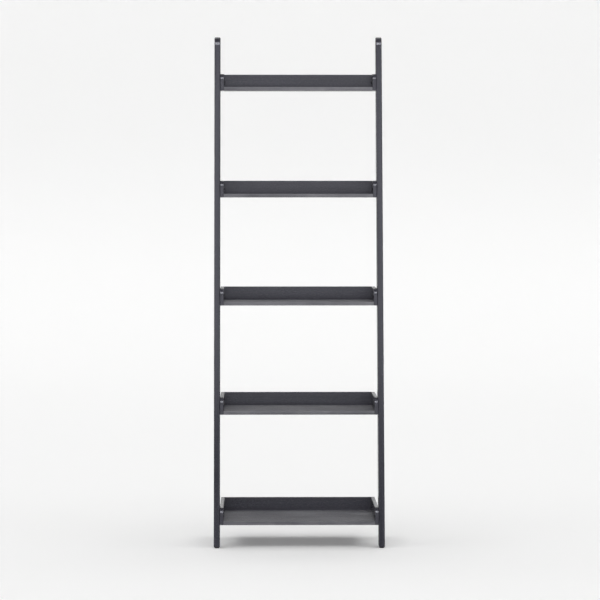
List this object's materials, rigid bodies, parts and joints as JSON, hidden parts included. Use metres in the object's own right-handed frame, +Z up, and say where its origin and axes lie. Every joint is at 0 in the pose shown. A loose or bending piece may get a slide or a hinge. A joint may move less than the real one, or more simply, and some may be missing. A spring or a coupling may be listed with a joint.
{
  "type": "ladder shelf",
  "caption": "Tall leaning ladder shelf: slanted board legs with rounded tops carry open trays that grow deeper towards the floor, each with low sides and a low back.",
  "frame": {"origin": "on the floor, in the middle of the shelf's width and of its depth from the feet to the wall", "axes": "+Z up, +Y from the room towards the wall that the shelf leans on, +X to the right as seen from the room"},
  "size_m": [0.616, 0.4096, 1.85],
  "materials": {
    "black_lacquered_wood": "charcoal-black satin lacquer over faint open grain, with eased edges",
    "black_bolt": "black zinc-plated steel, satin",
    "zinc_insert": "turned zinc alloy",
    "beech_dowel": "plain beech, unfinished",
    "foot_rubber": "matt black rubber",
    "plated_screw": "bright zinc plate",
    "wall_felt": "dense black felt"
  },
  "bodies": {
    "root": {"left_leg": "black_lacquered_wood", "left_leg_inserts": "zinc_insert", "left_foot_pad": "foot_rubber", "left_wall_pad": "wall_felt", "right_leg": "black_lacquered_wood", "right_leg_inserts": "zinc_insert", "right_foot_pad": "foot_rubber", "right_wall_pad": "wall_felt", "foot_pad_screws": "plated_screw", "tray_1_floor": "black_lacquered_wood", "tray_1_back": "black_lacquered_wood", "tray_1_left_side": "black_lacquered_wood", "tray_1_right_side": "black_lacquered_wood", "tray_1_bolts": "black_bolt", "tray_1_dowels": "beech_dowel", "tray_2_floor": "black_lacquered_wood", "tray_2_back": "black_lacquered_wood", "tray_2_left_side": "black_lacquered_wood", "tray_2_right_side": "black_lacquered_wood", "tray_2_bolts": "black_bolt", "tray_2_dowels": "beech_dowel", "tray_3_floor": "black_lacquered_wood", "tray_3_back": "black_lacquered_wood", "tray_3_left_side": "black_lacquered_wood", "tray_3_right_side": "black_lacquered_wood", "tray_3_bolts": "black_bolt", "tray_3_dowels": "beech_dowel", "tray_4_floor": "black_lacquered_wood", "tray_4_back": "black_lacquered_wood", "tray_4_left_side": "black_lacquered_wood", "tray_4_right_side": "black_lacquered_wood", "tray_4_bolts": "black_bolt", "tray_4_dowels": "beech_dowel", "tray_5_floor": "black_lacquered_wood", "tray_5_back": "black_lacquered_wood", "tray_5_left_side": "black_lacquered_wood", "tray_5_right_side": "black_lacquered_wood", "tray_5_bolts": "black_bolt", "tray_5_dowels": "beech_dowel"}
  },
  "joints": []
}
